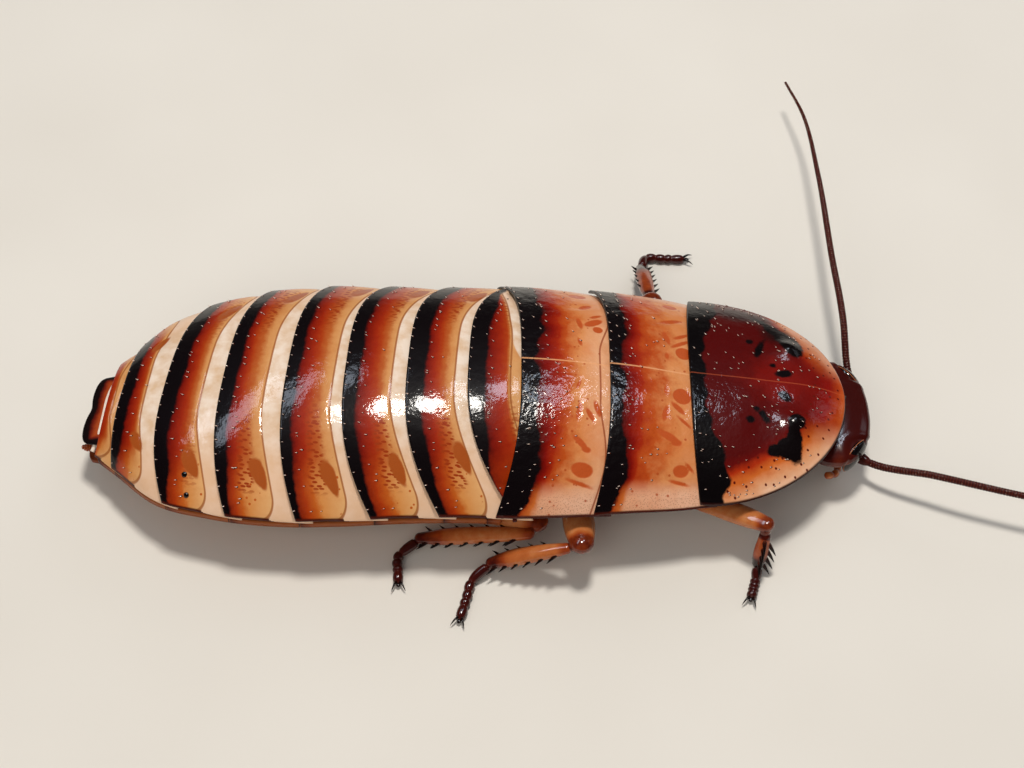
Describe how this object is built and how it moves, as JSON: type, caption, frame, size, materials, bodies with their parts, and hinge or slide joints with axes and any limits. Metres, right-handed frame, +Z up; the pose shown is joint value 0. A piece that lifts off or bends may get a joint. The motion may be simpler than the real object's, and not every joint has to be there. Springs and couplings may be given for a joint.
{
  "type": "madagascar hissing cockroach",
  "caption": "Life-size standing Madagascar hissing cockroach, wingless, with glossy cream, orange, red and black banded back plates.",
  "frame": {"origin": "on the floor, under the middle of the whole model's box, feelers included", "axes": "+X towards the head, +Y to the animal's left, +Z up from the floor"},
  "size_m": [0.0852, 0.0496, 0.0101],
  "materials": {
    "back_plate": "glossy chitin, banded cream, orange, dark red and black",
    "pronotum": "glossy chitin, maroon with black blotches and an orange margin",
    "belly": "satin brown chitin",
    "head": "polished dark mahogany chitin",
    "eye": "glossy black facets",
    "antenna": "dark red-brown rings with fine hairs",
    "leg": "glossy translucent orange-brown chitin with dark spines",
    "foot": "glossy black-brown links and claws"
  },
  "bodies": {
    "root": {"pronotum": "pronotum", "mesonotum": "back_plate", "metanotum": "back_plate", "abdomen_1": "back_plate", "abdomen_2": "back_plate", "abdomen_3": "back_plate", "abdomen_4": "back_plate", "abdomen_5": "back_plate", "abdomen_6": "back_plate", "abdomen_7": "back_plate", "abdomen_8": "back_plate", "supra_anal_plate": "back_plate", "subgenital_plate": "belly", "prothorax": "belly", "mesothorax": "belly", "metathorax": "belly", "head": "head", "eye_left": "eye", "eye_right": "eye", "antenna_left_scape": "antenna", "antenna_left_inner": "antenna", "antenna_left_outer": "antenna", "antenna_right_scape": "antenna", "antenna_right_inner": "antenna", "antenna_right_outer": "antenna", "palp_left": "leg", "palp_right": "leg", "cercus_left": "leg", "cercus_right": "leg", "coxa_left_front": "belly", "coxa_left_mid": "belly", "coxa_left_hind": "belly", "coxa_right_front": "belly", "coxa_right_mid": "belly", "coxa_right_hind": "belly", "femur_left_front": "leg", "femur_left_mid": "leg", "femur_left_hind": "leg", "femur_right_front": "leg", "femur_right_mid": "leg", "femur_right_hind": "leg", "tibia_left_front": "leg", "tibia_left_mid": "leg", "tibia_left_hind": "leg", "tibia_right_front": "leg", "tibia_right_mid": "leg", "tibia_right_hind": "leg", "tarsus_left_front": "foot", "tarsus_left_mid": "foot", "tarsus_left_hind": "foot", "tarsus_right_front": "foot", "tarsus_right_mid": "foot", "tarsus_right_hind": "foot"}
  },
  "joints": []
}
